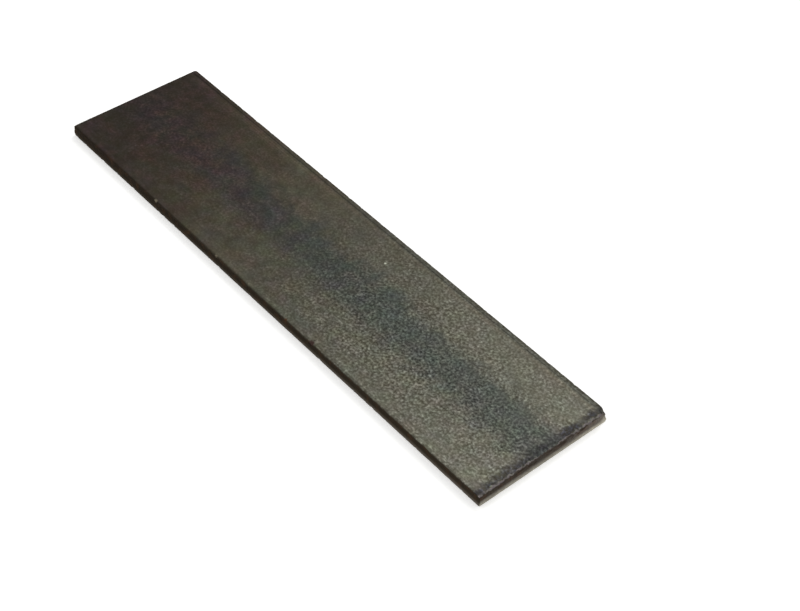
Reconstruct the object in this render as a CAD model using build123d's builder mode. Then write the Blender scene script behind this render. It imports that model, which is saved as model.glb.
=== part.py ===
from build123d import *
from math import radians, tan
import os

# Flat bar of hot-rolled mild steel, sheared to length: one piece of stock.
# It lies flat, its length along X, with the middle of its underside at the origin.

# The stock
bar_length = 300.0
bar_width = 75.0
bar_thickness = 6.0

# The long edge towards -Y left the edging rolls nearly square
front_corner_radius = 0.5

# The long edge towards +Y was rolled off: both faces curve down to a narrower flat side
roll_off_width = 2.6
roll_off_depth = 0.9
back_corner_radius = 0.4

# The sheared ends: the blade first drags the face down and over a rounded lip, then cuts
# the straight land below it, and the rest breaks away on a slight slope
roll_over_length = 4.0
roll_over_depth = 0.6
burnish_depth = 2.0
fracture_angle = 3.0
shear_lip_radius = 1.0

# Length of waste cut away beyond each end, past the outside of the bar
waste_margin = 5.0

# Section, seen along X: sketch x runs across the width and sketch y up the thickness
side_y = bar_width / 2
top_z = bar_thickness
roll_off_start_y = side_y - roll_off_width

# End profile, measured from the middle of the bar: sketch x runs out to the end, y up
end_x = bar_length / 2
face_z = bar_thickness / 2
lip_z = face_z - roll_over_depth
burnish_end_z = lip_z - burnish_depth
waste_x = end_x + waste_margin
waste_z = face_z + waste_margin
fracture_end_x = end_x - (burnish_end_z + waste_z) * tan(radians(fracture_angle))

# The second end is the first one turned over: its roll-over is on the underside,
# as on pieces that are cropped from a long bar one after another
bar_middle = (0, 0, bar_thickness / 2)
upright_end = Plane(origin=bar_middle, x_dir=(1, 0, 0), z_dir=(0, -1, 0))
turned_end = Plane(origin=bar_middle, x_dir=(-1, 0, 0), z_dir=(0, -1, 0))

with BuildPart() as flat_bar:
    # Rolled section
    with BuildSketch(Plane.YZ.offset(-end_x)) as section:
        with BuildLine():
            top = Line((-side_y, top_z), (roll_off_start_y, top_z))
            top_roll_off = TangentArc(top @ 1, (side_y, top_z - roll_off_depth), tangent=(1, 0))
            side = Line(top_roll_off @ 1, (side_y, roll_off_depth))
            bottom_roll_off = TangentArc(
                (roll_off_start_y, 0), side @ 1, tangent=(1, 0)
            )
            Polyline(bottom_roll_off @ 0, (-side_y, 0), top @ 0)
        make_face()
        front_corners = section.vertices().group_by(Axis.X)[0]
        fillet(front_corners, radius=front_corner_radius)
        back_corners = section.vertices().group_by(Axis.X)[-1]
        fillet(back_corners, radius=back_corner_radius)
    extrude(amount=bar_length)

    # Sheared ends
    for end_plane in (upright_end, turned_end):
        with BuildSketch(end_plane) as waste:
            with BuildLine():
                roll_over = TangentArc(
                    (end_x - roll_over_length, face_z), (end_x, lip_z), tangent=(1, 0)
                )
                Polyline(
                    roll_over @ 1,
                    (end_x, burnish_end_z),
                    (fracture_end_x, -waste_z),
                    (waste_x, -waste_z),
                    (waste_x, waste_z),
                    (end_x - roll_over_length, waste_z),
                    roll_over @ 0,
                )
            make_face()
            lip = waste.vertices().sort_by_distance(roll_over @ 1)[0]
            fillet(lip, radius=shear_lip_radius)
        extrude(amount=bar_width, both=True, mode=Mode.SUBTRACT)

flat_bar.part.label = "flat_bar"

os.makedirs("parts", exist_ok=True)
export_step(flat_bar.part, "parts/flat_bar.step")
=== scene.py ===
from functools import partial
from math import asin, cos, pi, radians, sin

import bmesh
import bpy
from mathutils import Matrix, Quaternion, Vector


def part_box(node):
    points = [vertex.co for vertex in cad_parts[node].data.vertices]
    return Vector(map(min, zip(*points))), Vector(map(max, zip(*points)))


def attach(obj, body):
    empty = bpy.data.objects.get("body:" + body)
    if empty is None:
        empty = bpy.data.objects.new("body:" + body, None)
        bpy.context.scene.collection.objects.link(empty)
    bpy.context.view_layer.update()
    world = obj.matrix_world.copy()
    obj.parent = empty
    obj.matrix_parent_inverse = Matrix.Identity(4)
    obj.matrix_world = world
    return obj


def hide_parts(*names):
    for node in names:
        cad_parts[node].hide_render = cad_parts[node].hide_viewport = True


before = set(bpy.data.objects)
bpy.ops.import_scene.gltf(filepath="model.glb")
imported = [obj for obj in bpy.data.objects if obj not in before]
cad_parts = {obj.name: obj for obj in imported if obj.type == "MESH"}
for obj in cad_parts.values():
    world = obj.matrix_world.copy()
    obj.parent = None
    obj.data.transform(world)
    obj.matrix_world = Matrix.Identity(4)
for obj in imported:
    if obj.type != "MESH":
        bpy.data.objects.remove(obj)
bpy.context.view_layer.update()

mm = 0.001
near = 0.02 * mm   # how close a point must be to count as on a line or plane
straight = 0.8     # how much of an edge's length must lie along an axis for it to run along it
alongX, alongY, alongZ = 0, 1, 2


# picking and cutting in edit mode

def pick(test, kind="VERT"):
    # select the vertices, edges or faces that pass the test, and nothing else
    bpy.ops.mesh.select_mode(type=kind)
    bpy.ops.mesh.select_all(action="DESELECT")
    data = bpy.context.edit_object.data
    mesh = bmesh.from_edit_mesh(data)
    items = {"VERT": mesh.verts, "EDGE": mesh.edges, "FACE": mesh.faces}[kind]
    for item in [item for item in items if test(item)]:
        item.select_set(True)
    bmesh.update_edit_mesh(data)


def cutAt(axis, place):
    # a loop all round the bar at one place along an axis
    bpy.ops.mesh.select_mode(type="FACE")
    bpy.ops.mesh.select_all(action="SELECT")
    normal = Vector((0, 0, 0))
    normal[axis] = 1
    bpy.ops.mesh.bisect(plane_co=normal * place, plane_no=normal)


def middle(edge):
    return (edge.verts[0].co + edge.verts[1].co) / 2


def runs(edge, axis):
    way = edge.verts[1].co - edge.verts[0].co
    return abs(way[axis]) > straight * way.length


def divide(axis, low, high, pitch):
    # split every edge that runs along the axis, inside one stretch, into steps of about a pitch
    pick(lambda e: runs(e, axis) and low < middle(e)[axis] < high, "EDGE")
    cuts = round((high - low) / pitch) - 1
    if cuts > 0:
        bpy.ops.mesh.subdivide(number_cuts=cuts)


# The bar: one piece of hot-rolled flat, sheared at both ends

bar = {
    "node": "flat_bar",
    "slot": "mill_scale_steel",
    "frontBevel": 0.5 * mm,       # the long edge towards -Y is nearly square
    "frontBevelSteps": 3,
    # how far an edge falls away from the face and by how much, the radius of its lip, and its loops
    "rollOff": (2.6 * mm, 0.9 * mm, 0.4 * mm, 5, 2),     # the long edge towards +Y, on both faces
    "rollOver": (4.0 * mm, 0.6 * mm, 1.0 * mm, 5, 5),    # each end: the blade drags one face down
    "burnishDepth": 2.0 * mm,     # the part of the end that the blade cut cleanly
    "fractureAngle": 3,           # the rest broke away on a slope, in degrees
    "fractureReach": 0.35 * mm,   # what lies this near to the end leans with it
    "endBevel": 0.12 * mm,        # round the end, below the lip
    "endBevelSteps": 2,
    "looksAlong": 0.95,           # it runs where a face that looks along the bar
    "looksAside": 0.6,            # meets one that doesn't
    "levels": (0.8 * mm, 1.2 * mm),   # loops round the bar, above and below its middle
    "stretches": 6,               # the grid is cut in stretches; a subdivide makes at most 100 cuts
    "pitchAlong": 0.86 * mm,
    "pitchAcross": 0.92 * mm,
    "pitchUp": 0.45 * mm,
    "smoothAngle": 50,            # edges sharper than this stay sharp, in degrees
}


def fallingEdge(length, depth, lip, loops, lipLoops):
    # an arc that leaves the face level, and a tighter one over the lip until it stands upright,
    # as places along the fall with how far each has dropped
    radius = (length * length + depth * depth) / (2 * depth)
    lean = asin((length - lip) / (radius - lip))   # the slope where the two arcs meet
    drop = radius - (radius - lip) * cos(lean)
    gentle = [lean * i / loops for i in range(loops)]
    tight = [lean + (pi / 2 - lean) * i / lipLoops for i in range(lipLoops + 1)]
    face = [(radius * sin(slope), radius * (1 - cos(slope))) for slope in gentle]
    return face + [(length - lip + lip * sin(slope), drop - lip * cos(slope)) for slope in tight]


def lower(axis, place, level, side):
    # flatten what stands outside a level, on one loop, down to it; side is 1 on top, -1 underneath
    pick(lambda v: abs(v.co[axis] - place) < near and (v.co.z - level) * side > 0)
    bpy.ops.transform.resize(value=(1, 1, 0), center_override=(0, 0, level))


def barSizes():
    # the bar's end, side and top, the middle of its thickness, and the land's height above that
    low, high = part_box(bar["node"])
    midZ = (low.z + high.z) / 2
    landEnd = high.z - bar["rollOver"][1] - bar["burnishDepth"] - midZ
    return high.x, high.y, high.z, midZ, landEnd


def overMiddle(place, midZ):
    # how far a point stands over the middle of the thickness, towards the face rolled over
    # at its own end: the top at +X, the underside at -X
    return (place.z - midZ) * (1 if place.x > 0 else -1)


def makeBar():
    low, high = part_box(bar["node"])
    bpy.ops.object.select_all(action="DESELECT")
    bpy.ops.mesh.primitive_cube_add(size=1, location=(low + high) / 2, scale=high - low)
    flat = bpy.context.active_object
    flat.name = "hot_rolled_flat_bar"
    bpy.ops.object.transform_apply(location=True, rotation=True, scale=True)
    bpy.ops.object.mode_set(mode="EDIT")
    endX, sideY, topZ, midZ, landEnd = barSizes()

    # the nearly square front corners
    pick(lambda e: runs(e, alongX) and middle(e).y < 0, "EDGE")
    bpy.ops.mesh.bevel(offset=bar["frontBevel"], segments=bar["frontBevelSteps"], affect="EDGES")
    cutAt(alongY, bar["frontBevel"] - sideY)

    # loops for the rolled-off back edge, each lowered onto its profile
    rollOff = fallingEdge(*bar["rollOff"])
    rollOffStart = sideY - bar["rollOff"][0]
    for run, drop in rollOff[:-1]:
        cutAt(alongY, rollOffStart + run)
    for run, drop in rollOff[1:]:
        for side in (1, -1):
            lower(alongY, rollOffStart + run, midZ + side * (topZ - midZ - drop), side)

    # levels up the thickness, of which one is the land's lower limit at each end
    for level in (landEnd,) + bar["levels"]:
        for side in (1, -1):
            cutAt(alongZ, midZ + side * level)

    # loops for the roll-over at each end: on top at +X, underneath at -X
    rollOver = fallingEdge(*bar["rollOver"])
    inner = endX - bar["rollOver"][0]
    for side in (1, -1):
        for run, drop in rollOver[:-1]:
            cutAt(alongX, side * (inner + run))
        for run, drop in rollOver[1:]:
            lower(alongX, side * (inner + run), midZ + side * (topZ - midZ - drop), side)

    # the land stands straight, and the fracture leans in below it, with the loops just inside it
    for side in (1, -1):
        pick(lambda v: v.co.x * side > endX - bar["fractureReach"]
             and (v.co.z - midZ) * side < landEnd - near)
        bpy.ops.transform.rotate(value=-radians(bar["fractureAngle"]), orient_axis="Y",
                                 center_override=(side * endX, 0, midZ + side * landEnd))

    # a small bevel round the rest of each end, below the lip
    def underLip(edge):
        looks = [abs(face.normal.x) for face in edge.link_faces]
        return (max(looks) > bar["looksAlong"] and min(looks) < bar["looksAside"]
                and overMiddle(middle(edge), midZ) < bar["levels"][-1])

    pick(underLip, "EDGE")
    bpy.ops.mesh.bevel(offset=bar["endBevel"], segments=bar["endBevelSteps"], affect="EDGES")

    # an even grid fine enough to carry the relief
    stretches = bar["stretches"]
    starts = [-inner + 2 * inner * i / stretches for i in range(stretches)]
    for start in starts[1:]:
        cutAt(alongX, start)
    for start in starts:
        divide(alongX, start, start + 2 * inner / stretches, bar["pitchAlong"])
    divide(alongY, bar["frontBevel"] - sideY, rollOffStart, bar["pitchAcross"])
    for side in (1, -1):
        between = sorted((midZ + side * bar["levels"][-1],
                          midZ + side * (topZ - midZ - bar["frontBevel"])))
        divide(alongZ, *between, bar["pitchUp"])
    bpy.ops.object.mode_set(mode="OBJECT")
    print("bar blocked out:", len(flat.data.polygons), "faces")
    return flat


relief = {
    # place: size of its features, depth, and the cloud values that press fully and not at all
    "arris": (2.4 * mm, 0.35 * mm, 0.15, 0.42),      # knocks along the long corners
    "flake": (1.5 * mm, 0.14 * mm, 0.25, 0.65),      # scale broken up where the shear bent it
    "fracture": (1.7 * mm, 0.25 * mm, 0.25, 0.75),   # torn steel below the land
    "burr": (1.7 * mm, 0.07 * mm, 0.25, 0.75),       # the thin edge where the tear ran out
    # how far each reaches in: a corner from the side and from the face, and the rest from the end
    "arrisReach": (0.6 * mm, 1.2 * mm),
    "flakeReach": 3.2 * mm,
    "tearReach": 0.6 * mm,
    # knocks listed on the upper front corner: how far along, and how large, in mm
    "knocks": [(-79.3, 0.9), (-30.8, 0.7), (21.3, 0.8), (39.5, 1.5)],
    "knockDepth": 0.35 * mm,
    # the corner that the blade dragged down furthest: what is taken hold of, how far it moved,
    # and how much moved with it
    "cornerGrip": 0.3 * mm,
    "cornerMove": (-1.2 * mm, -0.7 * mm, -1.2 * mm),
    "cornerReach": 4.8 * mm,
}


def roughen(flat):
    # knocks, flakes and torn steel, pressed into the mesh
    endX, sideY, topZ, midZ, landEnd = barSizes()
    bpy.ops.object.mode_set(mode="EDIT")

    for along, size in relief["knocks"]:
        place = Vector((along * mm, -sideY, topZ))
        pick(lambda v: (v.co - place).length < size * mm)
        bpy.ops.transform.translate(value=(0, relief["knockDepth"], -relief["knockDepth"]))

    corner = Vector((endX, sideY, topZ - bar["rollOver"][1] - bar["rollOver"][2]))
    pick(lambda v: (v.co - corner).length < relief["cornerGrip"])
    bpy.ops.transform.translate(value=relief["cornerMove"], use_proportional_edit=True,
                                proportional_edit_falloff="SMOOTH",
                                proportional_size=relief["cornerReach"])

    def over(v):
        return overMiddle(v.co, midZ)

    def fromEnd(v):
        return endX - abs(v.co.x)

    arrisAside, arrisDown = relief["arrisReach"]
    burrTop = midZ - topZ + 2 * bar["endBevel"]
    where = {
        "arris": lambda v: abs(abs(v.co.y) - sideY) < arrisAside
        and abs(v.co.z - midZ) > topZ - midZ - arrisDown,
        "flake": lambda v: fromEnd(v) < relief["flakeReach"] and over(v) > bar["levels"][-1] + near,
        "fracture": lambda v: fromEnd(v) < relief["tearReach"]
        and burrTop < over(v) < landEnd - near,
        "burr": lambda v: fromEnd(v) < relief["tearReach"] and over(v) < burrTop,
    }
    for name, test in where.items():
        pick(test)
        bpy.ops.object.vertex_group_assign_new()
        flat.vertex_groups.active.name = name
    bpy.ops.object.mode_set(mode="OBJECT")

    for name in where:
        width, depth, pressed, left = relief[name]
        texture = bpy.data.textures.new(name, "CLOUDS")
        texture.noise_scale = width
        texture.use_color_ramp = True
        for element, place, level in zip(texture.color_ramp.elements, (pressed, left), (0, 1)):
            element.position = place
            element.color = (level, level, level, 1)
        bpy.ops.object.modifier_add(type="DISPLACE")
        press = flat.modifiers[-1]
        press.texture = texture
        press.texture_coords = "LOCAL"
        press.vertex_group = name
        press.mid_level = 1   # so it only ever presses inwards
        press.strength = depth
        bpy.ops.object.modifier_apply(modifier=press.name)
    bpy.ops.object.vertex_group_remove(all=True)
    bpy.ops.object.shade_smooth_by_angle(angle=radians(bar["smoothAngle"]))
    print("relief pressed in")


# nodes

numberA, numberB, colourA, colourB = 2, 3, 6, 7   # the Mix node's inputs, after its factor at 0
smooth = {"interpolation_type": "SMOOTHSTEP"}
halfLength, halfWidth, halfThickness = 150.0, 37.5, 3.0   # of the bar, in mm, for the patterns


def linear(code):
    # an sRGB hex colour as the linear colour that the nodes take, by the sRGB curve
    parts = [int(code[i:i + 2], 16) / 255 for i in (1, 3, 5)]
    return [c / 12.92 if c < 0.04045 else ((c + 0.055) / 1.055) ** 2.4 for c in parts] + [1]


def add(tree, kind, inputs=(), stops=(), **settings):
    # one node with its settings; its inputs come in order, or under their names or numbers,
    # and each takes a node, a socket or a value; a ramp takes its stops
    node = tree.nodes.new("ShaderNode" + kind)
    for name, value in settings.items():
        setattr(node, name, value)
    given = inputs.items() if isinstance(inputs, dict) else enumerate(inputs)
    for name, value in given:
        if isinstance(value, bpy.types.Node):
            value = next(out for out in value.outputs if out.enabled)
        if isinstance(value, bpy.types.NodeSocket):
            tree.links.new(value, node.inputs[name])
        else:
            node.inputs[name].default_value = value
    for i, (place, code) in enumerate(stops):
        if i > 1:
            node.color_ramp.elements.new(place)
        node.color_ramp.elements[i].position = place
        node.color_ramp.elements[i].color = linear(code)
    return node


def startMaterial(name):
    # an empty Principled material, its node maker, and its points in millimetres
    material = bpy.data.materials.new(name)
    material.use_nodes = True
    node = partial(add, material.node_tree)
    points = node("TexCoord").outputs["Object"]
    points = node("Mapping", {"Vector": points, "Scale": (1 / mm,) * 3})
    return material, node, points


def stray(node, distance, cloud, sway):
    # a distance that strays by up to the sway to either side, as a cloud says
    sideways = node("MapRange", (cloud, 0.0, 1.0, -sway, sway))
    return node("Math", (distance, sideways), operation="ADD")


def heightOver(node, x, z):
    # the same as overMiddle, for every point of the surface, in mm
    turned = node("Math", (x,), operation="SIGN")
    height = node("Math", (z, halfThickness), operation="SUBTRACT")
    return node("Math", (height, turned), operation="MULTIPLY")


def dress(material, finish, links):
    # the constants go on the shader's own sockets, colours as hex, and the patterns are linked
    tree = material.node_tree
    skin = tree.nodes["Principled BSDF"]
    for name, value in finish.items():
        skin.inputs[name].default_value = linear(value) if isinstance(value, str) else value
    for name, value in links.items():
        tree.links.new(next(out for out in value.outputs if out.enabled), skin.inputs[name])
    return material


# Hot-rolled mild steel under its mill scale: the oxide skin left by rolling at red heat.
# It is dark, fine grained and satin. Where it is thin it is brown or plum, then olive,
# and where it lay hottest, down the middle, it is blue-grey. It grows lighter towards +X,
# partly in its own tone and partly by a painted sheen with painted glints in its grain. It is
# darkest on the long edges, partly by painted shade, it has knocks along the corners, and it
# has flaked where the shear bent it, with painted shade on that slope and a painted highlight
# on the ridge before each end's lip.
scale = {
    "name": "hot_rolled_mill_scale",
    "finish": {"Metallic": 0.85, "Specular Tint": "#bcb6ae"},
    # the clouds that break the patterns up: width in mm, detail and roughness
    "clouds": {
        "patch": (26.0, 3.0, 0.5),
        "blotch": (9.0, 5.0, 0.6),
        "hue": (8.5, 1.0, 0.5),
        "mottle": (4.5, 2.0, 0.5),
        "stain": (3.5, 3.0, 0.5),
        "flake": (2.6, 3.0, 0.5),
        "ragged": (1.7, 2.0, 0.5),
        "grain": (1.25, 1.0, 0.6),   # the real crystals are finer; drawn as coarse as they show
    },
    # Each fade below is where it starts and where it ends, in mm or as a cloud's value,
    # and then how much there is at its start and at its end, where that isn't 0 and 1.
    # Each sway is how far a line strays to either side, in mm.

    # tones from -X to +X, beside the streak and in it, and how far they drift in patches; their
    # rise towards +X is partly the scale's own tone and partly a painted sheen; how thin the scale
    # gets, and how far the thin scale's tone shifts at -Y and at +Y
    "sideTones": [(0.0, "#2f2a25"), (0.12, "#302b26"), (0.23, "#3c372e"), (0.4, "#474439"),
                  (0.5, "#48463d"), (0.7, "#535248"), (1.0, "#58574d")],
    "streakTones": [(0.0, "#2f2928"), (0.3, "#373432"), (0.45, "#3c3e39"), (0.7, "#41443f"),
                    (1.0, "#42443f")],
    "toneDrift": 0.13,
    "thin": (-20.0, -90.0, 0.0, 0.45),
    "tilt": (-0.08, 0.16),

    # the streak, in from the sides to the middle, and the plum patches in the thin scale
    "streak": (18.5, 4.0),
    "streakSway": 11.0,
    "plum": "#3c2d29",
    "plumPatches": (0.42, 0.66),

    # the band inside each long edge, and its lines: how fast they change along, across and down,
    # for each mm
    "band": (26.0, 33.5),
    "lineChange": (0.012, 1.3, 0.2),
    "lineTones": (0.3, 0.7, 0.9, 1.22),

    # where the shear bent it: the scale's own blue-black, with painted shade on the slope
    "bentScaleAndShade": "#272629",
    "bentSide": (0.5, 1.0),                  # up from the middle, towards the face rolled over
    "bentLine": 8.0,                         # a line along the bar, this far towards -Y
    "bentStart": (0.0, 16.0, 142.2, 143.4),  # it starts further in near that line
    "bentFull": 147.0,
    "bentEnd": (149.0, 147.9),
    "bentSway": 3.0,
    "bentPatches": (0.4, 0.55, 0.55, 0.88),

    # the grain: its level and how sharply its flecks stand out, the brightest of them painted
    # glints, then its contrast along the bar, rising towards +X with the painted sheen, out from
    # the same line, on the bands inside the edges and in blotches
    "fleckAndGlintLevel": 2.0,
    "fleckAndGlintPower": 3.0,
    "grainAlong": (-35.0, 60.0, 0.25, 0.7),
    "grainAcross": (6.0, 26.0, 1.08, 0.92),
    "grainBands": (0.0, 1.0, 1.0, 0.78),
    "grainBlotches": (0.35, 0.65, 0.78, 1.22),
    "warmth": "#191400",                     # the part of the tone that the grain leaves alone

    # the mottle, and the drift in hue, along the bar, across it and in the streak
    "mottle": (0.25, 0.75, 0.75, 1.25),
    "mottleAlong": (-30.0, 65.0, 1.0, 0.35),
    "hueAlong": (-60.0, 60.0, 0.2, 0.095),
    "hueAcross": (-20.0, 20.0, 1.12, 0.74),
    "hueInStreak": 0.03,
    "hueMiddle": (0.5, 0.5, 0.5, 1.0),       # the hues lie about this, so they are doubled
    "hueLevel": 2.0,

    # one small chip down to bright steel: its place, and its fade in towards that
    "bright": "#afb1a1",
    "chipPlace": (21.3, 20.9, 6.0),
    "chip": (0.75, 0.2),

    # how the rolled-off edge was worked, over a stretch across the bar: paler, then a dark
    # line of painted shade where the edge starts to fall away, then the rim; where that starts, and
    # how pale it is along the bar
    "workedAndShadedTones": [(0.0, "#f0f0f0"), (0.4, "#fcf6f4"), (0.56, "#f0f0f0"), (0.65, "#a2a2a6"),
                    (0.74, "#e2e3e6"), (1.0, "#e8eaee")],
    "workedStretch": (30.0, 37.0),
    "workedStart": (29.0, 32.0),
    "workedSway": 0.4,
    "workedAlong": (-150.0, 120.0, 1.34, 0.98),

    # the painted highlight on the ridge before each end's lip, and the bare strip past it: how
    # far each moves in near the bar's sides, and out in its middle, its fade towards the end, and
    # its colour
    "ridgeHighlight": (0.12, (148.35, 148.6), "#5e5859"),
    "bare": (-0.2, (148.95, 149.2), "#37312b"),
    "nearSides": (10.0, 28.0, -1.0, 1.0),
    "ridgeSway": 1.1,
    "ridgeHighlightDashes": (0.42, 0.58, 0.2, 1.0),

    # the long edges: their tones from -X to +X, darker than the face partly by painted shade,
    # rust in stains, and a foot made paler by a painted reflection of the floor, with its fade
    # downwards and along the bar
    "edgeTones": [(0.0, "#17120b"), (0.6, "#1f1a13"), (1.0, "#29231c")],
    "rust": "#4c3423",
    "rustStains": (0.5, 0.72, 0.0, 0.35),
    "footReflection": "#6a645c",
    "footReflectionDown": (3.2, 0.5),
    "footReflectionAlong": (-50.0, 130.0, 0.25, 0.8),
    # how far out from the middle they start and are full, at -X and at +X, and how much further
    # in that is at the foot
    "edgeStart": (36.1, 37.4),
    "edgeFull": (37.9, 37.6),
    "edgeDown": 2.1,
    "edgeSway": 0.35,
    # the rim towards +Y stays as pale as the face: where it ends, inwards and downwards
    "rimInwards": (37.2, 37.0),
    "rimDownwards": (4.4, 3.6),

    # the knocks: the line that they lie on, how much larger than each its colour starts, and how
    # much smaller it is full, and the colour in each
    "knockLine": (-37.3, 5.8),
    "knockFade": (0.3, -0.4),
    "knockColours": ("#6f6858", "#6f6858", "#4c3423", "#3c2d29"),

    "roughness": (0.3, 0.7, 0.40, 0.54),     # in the grain
    "bump": {"Strength": 0.8, "Distance": 0.15 * mm},
}


def millScale():
    material, node, points = startMaterial(scale["name"])
    x, y, z = node("SeparateXYZ", (points,)).outputs
    clouds = {}
    for name, (width, detail, roughness) in scale["clouds"].items():
        clouds[name] = node("TexNoise", {"Vector": points, "Scale": 1 / width, "Detail": detail,
                                         "Roughness": roughness})

    # tones along the bar, drifting in broad patches and lighter towards +X, partly by a painted
    # sheen; towards -X the scale is thin, and darker towards -Y
    run = node("MapRange", (x, -halfLength, halfLength))
    run = stray(node, run, clouds["patch"], scale["toneDrift"])
    thin = node("MapRange", (x, *scale["thin"]))
    tilt = node("MapRange", (y, -halfWidth, halfWidth, *scale["tilt"]))
    tilt = node("Math", (tilt, thin), operation="MULTIPLY")
    run = node("Math", (run, tilt), operation="ADD")
    sides = node("ValToRGB", (run,), stops=scale["sideTones"])
    centre = node("ValToRGB", (run,), stops=scale["streakTones"])

    # the streak down the middle, with ragged sides
    fromStreak = stray(node, y, clouds["blotch"], scale["streakSway"])
    fromStreak = node("Math", (fromStreak,), operation="ABSOLUTE")
    streak = node("MapRange", (fromStreak, *scale["streak"]), **smooth)
    colour = node("Mix", {0: streak, colourA: sides, colourB: centre}, data_type="RGBA")

    # plum patches where the scale is thin
    plum = node("MapRange", (clouds["blotch"], *scale["plumPatches"]), **smooth)
    plum = node("Math", (plum, thin), operation="MULTIPLY")
    colour = node("Mix", {0: plum, colourA: colour, colourB: linear(scale["plum"])},
                  data_type="RGBA")

    # a paler band inside each long edge, with the drawn-out lines that the rolls leave
    fromMiddle = node("Math", (y,), operation="ABSOLUTE")
    band = node("MapRange", (fromMiddle, *scale["band"]), **smooth)
    lines = node("Mapping", {"Vector": points, "Scale": scale["lineChange"]})
    lines = node("TexNoise", {"Vector": lines, "Scale": 1.0})
    lines = node("MapRange", (lines, *scale["lineTones"]))
    lines = node("Mix", {0: band, numberA: 1.0, numberB: lines}, data_type="FLOAT")

    # where the shear bent it the scale is blue-black in blotches, partly its own colour and
    # partly painted shade on the roll-over's slope, just inside the ridge's painted highlight
    above = node("MapRange", (heightOver(node, x, z), *scale["bentSide"]))
    fromCentre = node("Math", (x,), operation="ABSOLUTE")
    reach = stray(node, fromCentre, clouds["flake"], scale["bentSway"])
    offLine = node("Math", (y, scale["bentLine"]), operation="ADD")
    offLine = node("Math", (offLine,), operation="ABSOLUTE")
    start = node("MapRange", (offLine, *scale["bentStart"]))
    bentAndShade = node("MapRange", (reach, start, scale["bentFull"]), **smooth)
    falling = node("MapRange", (reach, *scale["bentEnd"]), **smooth)
    patchy = node("MapRange", (clouds["blotch"], *scale["bentPatches"]))
    for factor in (falling, above, patchy):
        bentAndShade = node("Math", (bentAndShade, factor), operation="MULTIPLY")
    colour = node("Mix", {0: bentAndShade, colourA: colour, colourB: linear(scale["bentScaleAndShade"])},
                  data_type="RGBA")

    # fine grain with bright flecks, partly the scale's own grain and partly painted glints,
    # strongest towards +X and down the middle
    fleckAndGlint = node("Math", (clouds["grain"], scale["fleckAndGlintLevel"]), operation="MULTIPLY")
    fleckAndGlint = node("Math", (fleckAndGlint, scale["fleckAndGlintPower"]), operation="POWER")
    contrast = node("MapRange", (x, *scale["grainAlong"]), **smooth)
    across = node("MapRange", (offLine, *scale["grainAcross"]))
    rubbed = node("MapRange", (band, *scale["grainBands"]))
    uneven = node("MapRange", (clouds["blotch"], *scale["grainBlotches"]))
    for factor in (across, rubbed, uneven):
        contrast = node("Math", (contrast, factor), operation="MULTIPLY")
    speckAndGlint = node("Mix", {0: contrast, numberA: 1.0, numberB: fleckAndGlint}, data_type="FLOAT")

    # a mottle under it, and a slow drift in hue, both strongest towards -X
    mottle = node("MapRange", (clouds["mottle"], *scale["mottle"]))
    amount = node("MapRange", (x, *scale["mottleAlong"]))
    tone = node("Mix", {0: amount, numberA: 1.0, numberB: mottle}, data_type="FLOAT")
    for factor in (speckAndGlint, lines, scale["hueLevel"]):
        tone = node("Math", (tone, factor), operation="MULTIPLY")
    strength = node("MapRange", (x, *scale["hueAlong"]))
    across = node("MapRange", (y, *scale["hueAcross"]))
    strength = node("Math", (strength, across), operation="MULTIPLY")
    strength = node("Math", (streak, scale["hueInStreak"], strength), operation="MULTIPLY_ADD")
    hue = node("Mix", {0: strength, colourA: scale["hueMiddle"],
                       colourB: clouds["hue"].outputs["Color"]}, data_type="RGBA")
    tint = node("VectorMath", {0: hue, "Scale": tone}, operation="SCALE")

    # the grain is greyer than the warm tone that it lies in, as its bright flecks are painted
    # glints, but not in the streak
    plain = node("Math", (1.0, streak), operation="SUBTRACT")
    warmth = node("VectorMath", {0: linear(scale["warmth"])[:3], "Scale": plain}, operation="SCALE")
    colour = node("VectorMath", (colour, warmth), operation="SUBTRACT")
    colour = node("VectorMath", (colour, tint, warmth), operation="MULTIPLY_ADD")

    # one small chip in the scale, down to bright steel
    there = node("VectorMath", (points, scale["chipPlace"]), operation="DISTANCE")
    there = node("MapRange", (there, *scale["chip"]))
    colour = node("Mix", {0: there, colourA: colour, colourB: linear(scale["bright"])},
                  data_type="RGBA")

    # along the rolled-off edge the scale was worked paler, with a dark line of painted shade
    # where the edge starts to fall away
    outwards = stray(node, y, clouds["flake"], scale["workedSway"])
    inside = node("MapRange", (outwards, *scale["workedStart"]))
    workedAndShaded = node("MapRange", (outwards, *scale["workedStretch"]))
    workedAndShaded = node("ValToRGB", (workedAndShaded,), stops=scale["workedAndShadedTones"])
    paler = node("MapRange", (x, *scale["workedAlong"]))
    workedAndShaded = node("VectorMath", {0: workedAndShaded, "Scale": paler}, operation="SCALE")
    colour = node("Mix", {0: inside, colourA: colour, colourB: workedAndShaded}, data_type="RGBA",
                  blend_type="MULTIPLY")

    # the ridge before each end's lip gets a painted highlight in dashes, and past it the scale
    # is gone
    wavy = stray(node, fromCentre, clouds["ragged"], scale["ridgeSway"])
    nearSides = node("MapRange", (fromMiddle, *scale["nearSides"]))
    highlightDashes = node("MapRange", (clouds["flake"], *scale["ridgeHighlightDashes"]))
    for name, factors in (("ridgeHighlight", (above, highlightDashes)), ("bare", (above,))):
        moved, fade, code = scale[name]
        strip = node("Math", (nearSides, moved, wavy), operation="MULTIPLY_ADD")
        strip = node("MapRange", (strip, *fade))
        for factor in factors:
            strip = node("Math", (strip, factor), operation="MULTIPLY")
        colour = node("Mix", {0: strip, colourA: colour, colourB: linear(code)}, data_type="RGBA")

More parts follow.
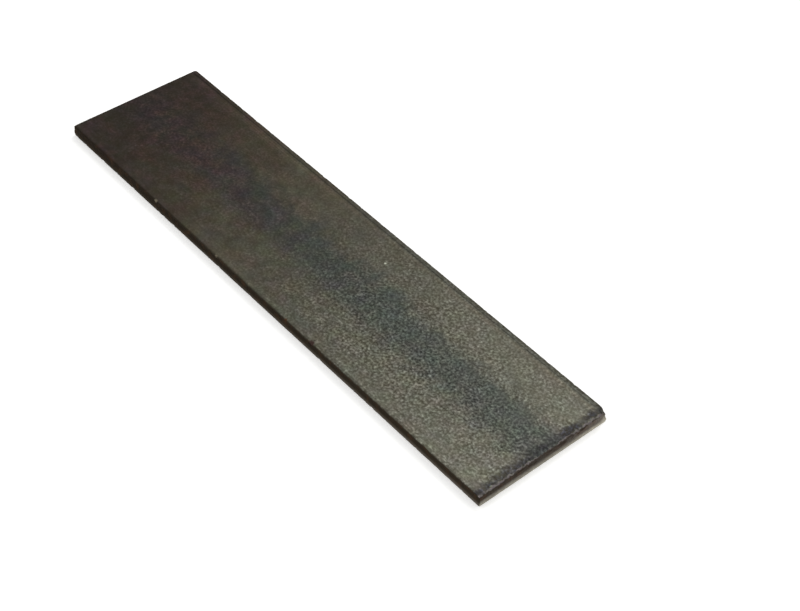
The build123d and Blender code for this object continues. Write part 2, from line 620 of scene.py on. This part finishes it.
    # the long edges are darker and browner, partly by painted shade, with rust in stains, and
    # paler at the foot by a painted reflection of the floor
    edgeTone = node("ValToRGB", (run,), stops=scale["edgeTones"])
    rusty = node("MapRange", (clouds["stain"], *scale["rustStains"]))
    footReflection = node("MapRange", (z, *scale["footReflectionDown"]), **smooth)
    paler = node("MapRange", (x, *scale["footReflectionAlong"]))
    footReflection = node("Math", (footReflection, paler), operation="MULTIPLY")
    for amount, name in ((rusty, "rust"), (footReflection, "footReflection")):
        edgeTone = node("Mix", {0: amount, colourA: edgeTone, colourB: linear(scale[name])},
                        data_type="RGBA")
    outwards = stray(node, fromMiddle, clouds["stain"], scale["edgeSway"])
    down = node("MapRange", (z, 2 * halfThickness, 0.0, 0.0, scale["edgeDown"]))
    outwards = node("Math", (outwards, down), operation="ADD")
    start = node("MapRange", (x, -halfLength, halfLength, *scale["edgeStart"]))
    full = node("MapRange", (x, -halfLength, halfLength, *scale["edgeFull"]))
    edge = node("MapRange", (outwards, start, full))
    offRim = node("MapRange", (y, *scale["rimInwards"]))
    underRim = node("MapRange", (z, *scale["rimDownwards"]))
    offRim = node("Math", (offRim, underRim), operation="MAXIMUM")
    edge = node("Math", (edge, offRim), operation="MULTIPLY")
    colour = node("Mix", {0: edge, colourA: colour, colourB: edgeTone}, data_type="RGBA")

    # the knocks are chipped or rusty
    outer, inner = scale["knockFade"]
    for (along, size), code in zip(relief["knocks"], scale["knockColours"]):
        there = node("VectorMath", (points, (along, *scale["knockLine"])), operation="DISTANCE")
        there = node("MapRange", (there, size + outer, size + inner))
        colour = node("Mix", {0: there, colourA: colour, colourB: linear(code)}, data_type="RGBA")

    rough = node("MapRange", (clouds["grain"], *scale["roughness"]))
    bump = node("Bump", {"Height": clouds["grain"], **scale["bump"]})
    return dress(material, scale["finish"], {"Base Color": colour, "Roughness": rough,
                                             "Normal": bump})


# Sheared mild steel: what the blade left of the end. Its upper part is the land, rubbed
# smooth and scored up and down as the blade passed, and gone brown. Below it the steel
# tore, which left it dull, pale, coarse and a little dusty, and paler towards the foot,
# partly by painted light from the floor.
sheared = {
    "name": "sheared_steel",
    "finish": {"Specular Tint": "#bcb6ae"},
    "looksAlong": 0.48,           # it is on the faces that look this squarely along the bar
    "fromEnd": 1.2 * mm,          # and lie this near to its end
    "clouds": {"tear": (0.9, 3.0, 0.6), "stain": (4.0, 3.0, 0.5)},

    # the land, from -Y to +Y
    "landTones": [(0.0, "#332e28"), (0.55, "#3a3530"), (0.8, "#57514b"), (1.0, "#66605a")],
    "rust": "#4a3325",
    "rustStains": (0.46, 0.66, 0.0, 0.35),
    "dash": "#241c17",
    "dashChange": (1.0, 0.25, 1.1),   # how fast they change along, across and down, for each mm
    "dashes": (0.5, 0.62, 0.0, 0.75),
    "scoring": 0.35,              # mm between the blade's marks; drawn coarser than real ones
    "scoreChange": 0.15,          # how fast a mark changes on its way down, for each mm
    "scoreTones": (0.3, 0.7, 0.78, 1.25),

    # the torn part, from the land down to the foot, paler towards the foot partly by painted
    # light from the floor and paler towards +Y, and the limit where the land gives way to it
    "tornTonesAndFloorLight": [(0.0, "#514c43"), (0.35, "#79746a"), (1.0, "#a8a395")],
    "tornDown": (0.4, -2.9),
    "tornSway": 0.2,              # as a share of the way down
    "pits": (0.3, 0.7, 0.7, 1.3),
    "paler": (0.6, 1.0, 1.0, 1.5),
    "limit": (1.3, 0.2),
    "limitSway": 0.8,

    # of the land and of the torn part
    "metallic": (0.8, 0.25),
    "roughness": (0.42, 0.72),
    "bump": {"Strength": 0.8, "Distance": 0.2 * mm},
}


def shearedSteel():
    material, node, points = startMaterial(sheared["name"])
    x, y, z = node("SeparateXYZ", (points,)).outputs
    height = heightOver(node, x, z)
    across = node("MapRange", (y, -halfWidth, halfWidth))
    clouds = {}
    for name, (width, detail, roughness) in sheared["clouds"].items():
        clouds[name] = node("TexNoise", {"Vector": points, "Scale": 1 / width, "Detail": detail,
                                         "Roughness": roughness})

    # the land
    change = (1.0, 1 / sheared["scoring"], sheared["scoreChange"])
    scores = node("Mapping", {"Vector": points, "Scale": change})
    scores = node("TexNoise", {"Vector": scores, "Scale": 1.0})
    dashes = node("Mapping", {"Vector": points, "Scale": sheared["dashChange"]})
    dashes = node("TexNoise", {"Vector": dashes, "Scale": 1.0})
    dashes = node("MapRange", (dashes, *sheared["dashes"]))
    rusty = node("MapRange", (clouds["stain"], *sheared["rustStains"]))
    land = node("ValToRGB", (across,), stops=sheared["landTones"])
    for amount, name in ((rusty, "rust"), (dashes, "dash")):
        land = node("Mix", {0: amount, colourA: land, colourB: linear(sheared[name])},
                    data_type="RGBA")
    scored = node("MapRange", (scores, *sheared["scoreTones"]))
    land = node("VectorMath", {0: land, "Scale": scored}, operation="SCALE")

    # the torn part, paler towards the foot partly by painted light from the floor
    down = node("MapRange", (height, *sheared["tornDown"]))
    down = stray(node, down, clouds["stain"], sheared["tornSway"])
    tornAndFloorLight = node("ValToRGB", (down,), stops=sheared["tornTonesAndFloorLight"])
    pitted = node("MapRange", (clouds["tear"], *sheared["pits"]))
    paler = node("MapRange", (across, *sheared["paler"]))
    pitted = node("Math", (pitted, paler), operation="MULTIPLY")
    tornAndFloorLight = node("VectorMath", {0: tornAndFloorLight, "Scale": pitted}, operation="SCALE")
    below = stray(node, height, clouds["stain"], sheared["limitSway"])
    below = node("MapRange", (below, *sheared["limit"]))
    colour = node("Mix", {0: below, colourA: land, colourB: tornAndFloorLight}, data_type="RGBA")

    metal = node("MapRange", (below, 0.0, 1.0, *sheared["metallic"]))
    rough = node("MapRange", (below, 0.0, 1.0, *sheared["roughness"]))
    marks = node("Mix", {0: below, numberA: scores, numberB: clouds["tear"]}, data_type="FLOAT")
    bump = node("Bump", {"Height": marks, **sheared["bump"]})
    return dress(material, sheared["finish"], {"Base Color": colour, "Metallic": metal,
                                               "Roughness": rough, "Normal": bump})


def finishBar(flat):
    flat.data.materials.append(millScale())
    flat.data.materials.append(shearedSteel())
    bpy.ops.object.mode_set(mode="EDIT")
    endX = barSizes()[0]
    pick(lambda f: abs(f.normal.x) > sheared["looksAlong"]
         and abs(f.calc_center_median().x) > endX - sheared["fromEnd"], "FACE")
    flat.active_material_index = 1
    bpy.ops.object.material_slot_assign()
    bpy.ops.object.mode_set(mode="OBJECT")
    print("mill scale and sheared steel laid on")


flatBar = makeBar()
finishBar(flatBar)
roughen(flatBar)
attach(flatBar, "root")
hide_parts(bar["node"])


# Camera and light

view = {
    "lens": 75.5,
    "azimuth": 46.93,       # from -Y towards +X, in degrees
    "elevation": 45.31,
    "roll": 3.45,
    "distance": 756.5 * mm,
    "target": (46.26 * mm, 8.46 * mm, 6 * mm),
    "clipStart": 10 * mm,
}


def makeCamera():
    data = bpy.data.cameras.new("camera")
    data.lens = view["lens"]
    data.clip_start = view["clipStart"]
    camera = bpy.data.objects.new("camera", data)
    bpy.context.collection.objects.link(camera)
    azimuth, elevation = radians(view["azimuth"]), radians(view["elevation"])
    back = Vector((sin(azimuth) * cos(elevation), -cos(azimuth) * cos(elevation), sin(elevation)))
    camera.location = Vector(view["target"]) + back * view["distance"]
    turn = (-back).to_track_quat("-Z", "Y") @ Quaternion((0, 0, 1), radians(view["roll"]))
    camera.rotation_euler = turn.to_euler()
    bpy.context.scene.camera = camera


studio = {
    "floorSize": 6.0,
    "floor": "#f4f4f2",
    "floorLift": 0.35,      # what the camera sees of the floor is lifted to plain white
    "roomLight": 0.8,
    "lampSize": 0.45,
    "lampPower": 3.2,
    "lampPlace": (-0.232, 0.686, 1.046),    # it points at the origin
}


def makeFloor():
    bpy.ops.object.select_all(action="DESELECT")
    bpy.ops.mesh.primitive_plane_add(size=studio["floorSize"], location=(0, 0, -near))
    floor = bpy.context.active_object
    floor.name = "floor"
    material = bpy.data.materials.new("pale_floor")
    material.use_nodes = True
    material.node_tree.nodes.clear()
    node = partial(add, material.node_tree)
    rays = node("LightPath").outputs
    matt = node("BsdfDiffuse", {"Color": linear(studio["floor"])})
    glow = node("Emission", {"Color": (1, 1, 1, 1), "Strength": studio["floorLift"]})
    lifted = node("AddShader", (matt, glow))
    seen = node("Math", (rays["Is Camera Ray"], rays["Is Glossy Ray"]), operation="MAXIMUM")
    surface = node("MixShader", (seen, matt, lifted))
    node("OutputMaterial", {"Surface": surface})
    floor.data.materials.append(material)


def makeRoom():
    world = bpy.data.worlds.new("studio")
    world.use_nodes = True
    world.node_tree.nodes.clear()
    bpy.context.scene.world = world
    node = partial(add, world.node_tree)
    rays = node("LightPath").outputs
    seen = rays["Is Camera Ray"]
    for ray in ("Is Glossy Ray", "Is Transmission Ray"):
        seen = node("Math", (seen, rays[ray]), operation="MAXIMUM")
    level = node("MapRange", (seen, 0.0, 1.0, studio["roomLight"], 1.0))
    room = node("Background", {"Color": (1, 1, 1, 1), "Strength": level})
    node("OutputWorld", {"Surface": room})


def makeLamp():
    data = bpy.data.lights.new("soft_box", "AREA")
    data.size = studio["lampSize"]
    data.energy = studio["lampPower"]
    lamp = bpy.data.objects.new("soft_box", data)
    bpy.context.collection.objects.link(lamp)
    lamp.location = studio["lampPlace"]
    lamp.rotation_euler = (-lamp.location).to_track_quat("-Z", "Y").to_euler()


makeCamera()
makeFloor()
makeRoom()
makeLamp()
bpy.context.scene.view_settings.view_transform = "Standard"
print("camera, floor and light set")
